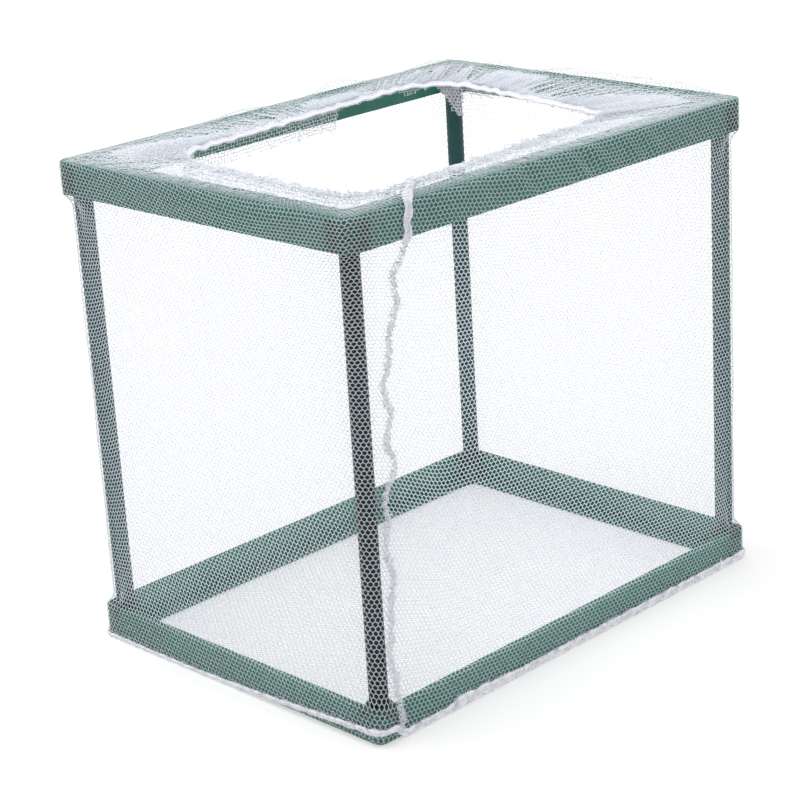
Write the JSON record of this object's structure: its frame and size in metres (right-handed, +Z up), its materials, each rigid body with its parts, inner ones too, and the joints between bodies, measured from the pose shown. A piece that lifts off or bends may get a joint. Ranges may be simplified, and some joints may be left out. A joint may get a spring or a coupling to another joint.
{
  "type": "fish breeding box",
  "caption": "Free-standing net breeding box for aquarium fry: plastic frame of rings and corner posts in a fine mesh cover with a gathered elastic mouth.",
  "frame": {"origin": "middle of the underside, on the surface that the box stands on", "axes": "+X along the length to the right, +Y from the front face to the back face, +Z up through the mouth"},
  "size_m": [0.163, 0.119, 0.146],
  "materials": {
    "ring_plastic": "moulded polypropylene, slightly see-through, satin",
    "post_plastic": "extruded round rod, satin gloss",
    "netting": "fine knitted polyester mesh with six-sided cells",
    "seam_thread": "overlocked thread",
    "elastic": "thread-covered elastic"
  },
  "bodies": {
    "root": {"top_ring": "ring_plastic", "bottom_ring": "ring_plastic", "post_front_left": "post_plastic", "post_front_right": "post_plastic", "post_back_left": "post_plastic", "post_back_right": "post_plastic", "net_front": "netting", "net_back": "netting", "net_left": "netting", "net_right": "netting", "net_floor": "netting", "mouth_net_front": "netting", "mouth_net_right": "netting", "mouth_net_back": "netting", "mouth_net_left": "netting", "elastic_cord": "elastic", "mouth_frill": "netting", "side_seam": "seam_thread", "floor_seam": "seam_thread"}
  },
  "joints": []
}
